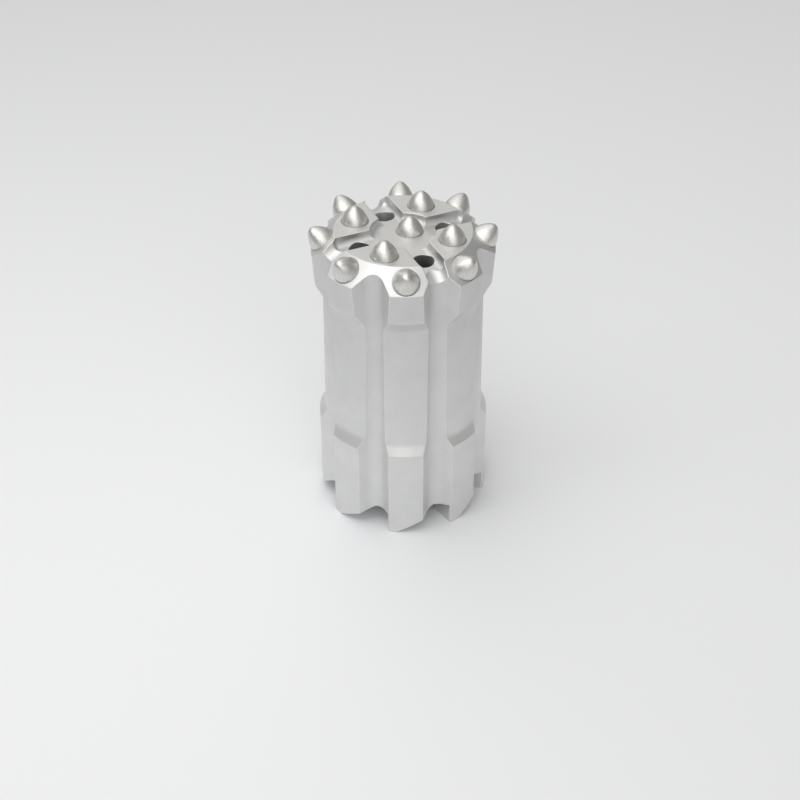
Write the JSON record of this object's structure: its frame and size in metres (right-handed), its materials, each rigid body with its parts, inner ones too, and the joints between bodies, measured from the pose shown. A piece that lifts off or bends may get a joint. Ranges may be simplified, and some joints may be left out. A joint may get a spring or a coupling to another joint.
{
  "type": "button drill bit",
  "caption": "Threaded retractable button bit with a fluted steel body, saw-toothed skirt, sunken flushing face and ballistic carbide buttons, for percussive rock drilling.",
  "frame": {"origin": "on the bit's axis, in the plane of the tooth tips that it stands on", "axes": "+Z along the bit's axis from the skirt's teeth towards the face; -Y through the middle of one rib and its gauge button"},
  "size_m": [0.102, 0.102, 0.1818],
  "materials": {
    "blasted_steel": "shot-blasted and silver-coated alloy steel, matt",
    "ground_carbide": "centreless-ground cemented carbide, satin"
  },
  "bodies": {
    "root": {"bit_body": "blasted_steel", "gauge_button_1": "ground_carbide", "gauge_button_2": "ground_carbide", "gauge_button_3": "ground_carbide", "gauge_button_4": "ground_carbide", "gauge_button_5": "ground_carbide", "gauge_button_6": "ground_carbide", "gauge_button_7": "ground_carbide", "gauge_button_8": "ground_carbide", "face_button_1": "ground_carbide", "face_button_2": "ground_carbide", "face_button_3": "ground_carbide", "face_button_4": "ground_carbide", "centre_button": "ground_carbide"}
  },
  "joints": []
}
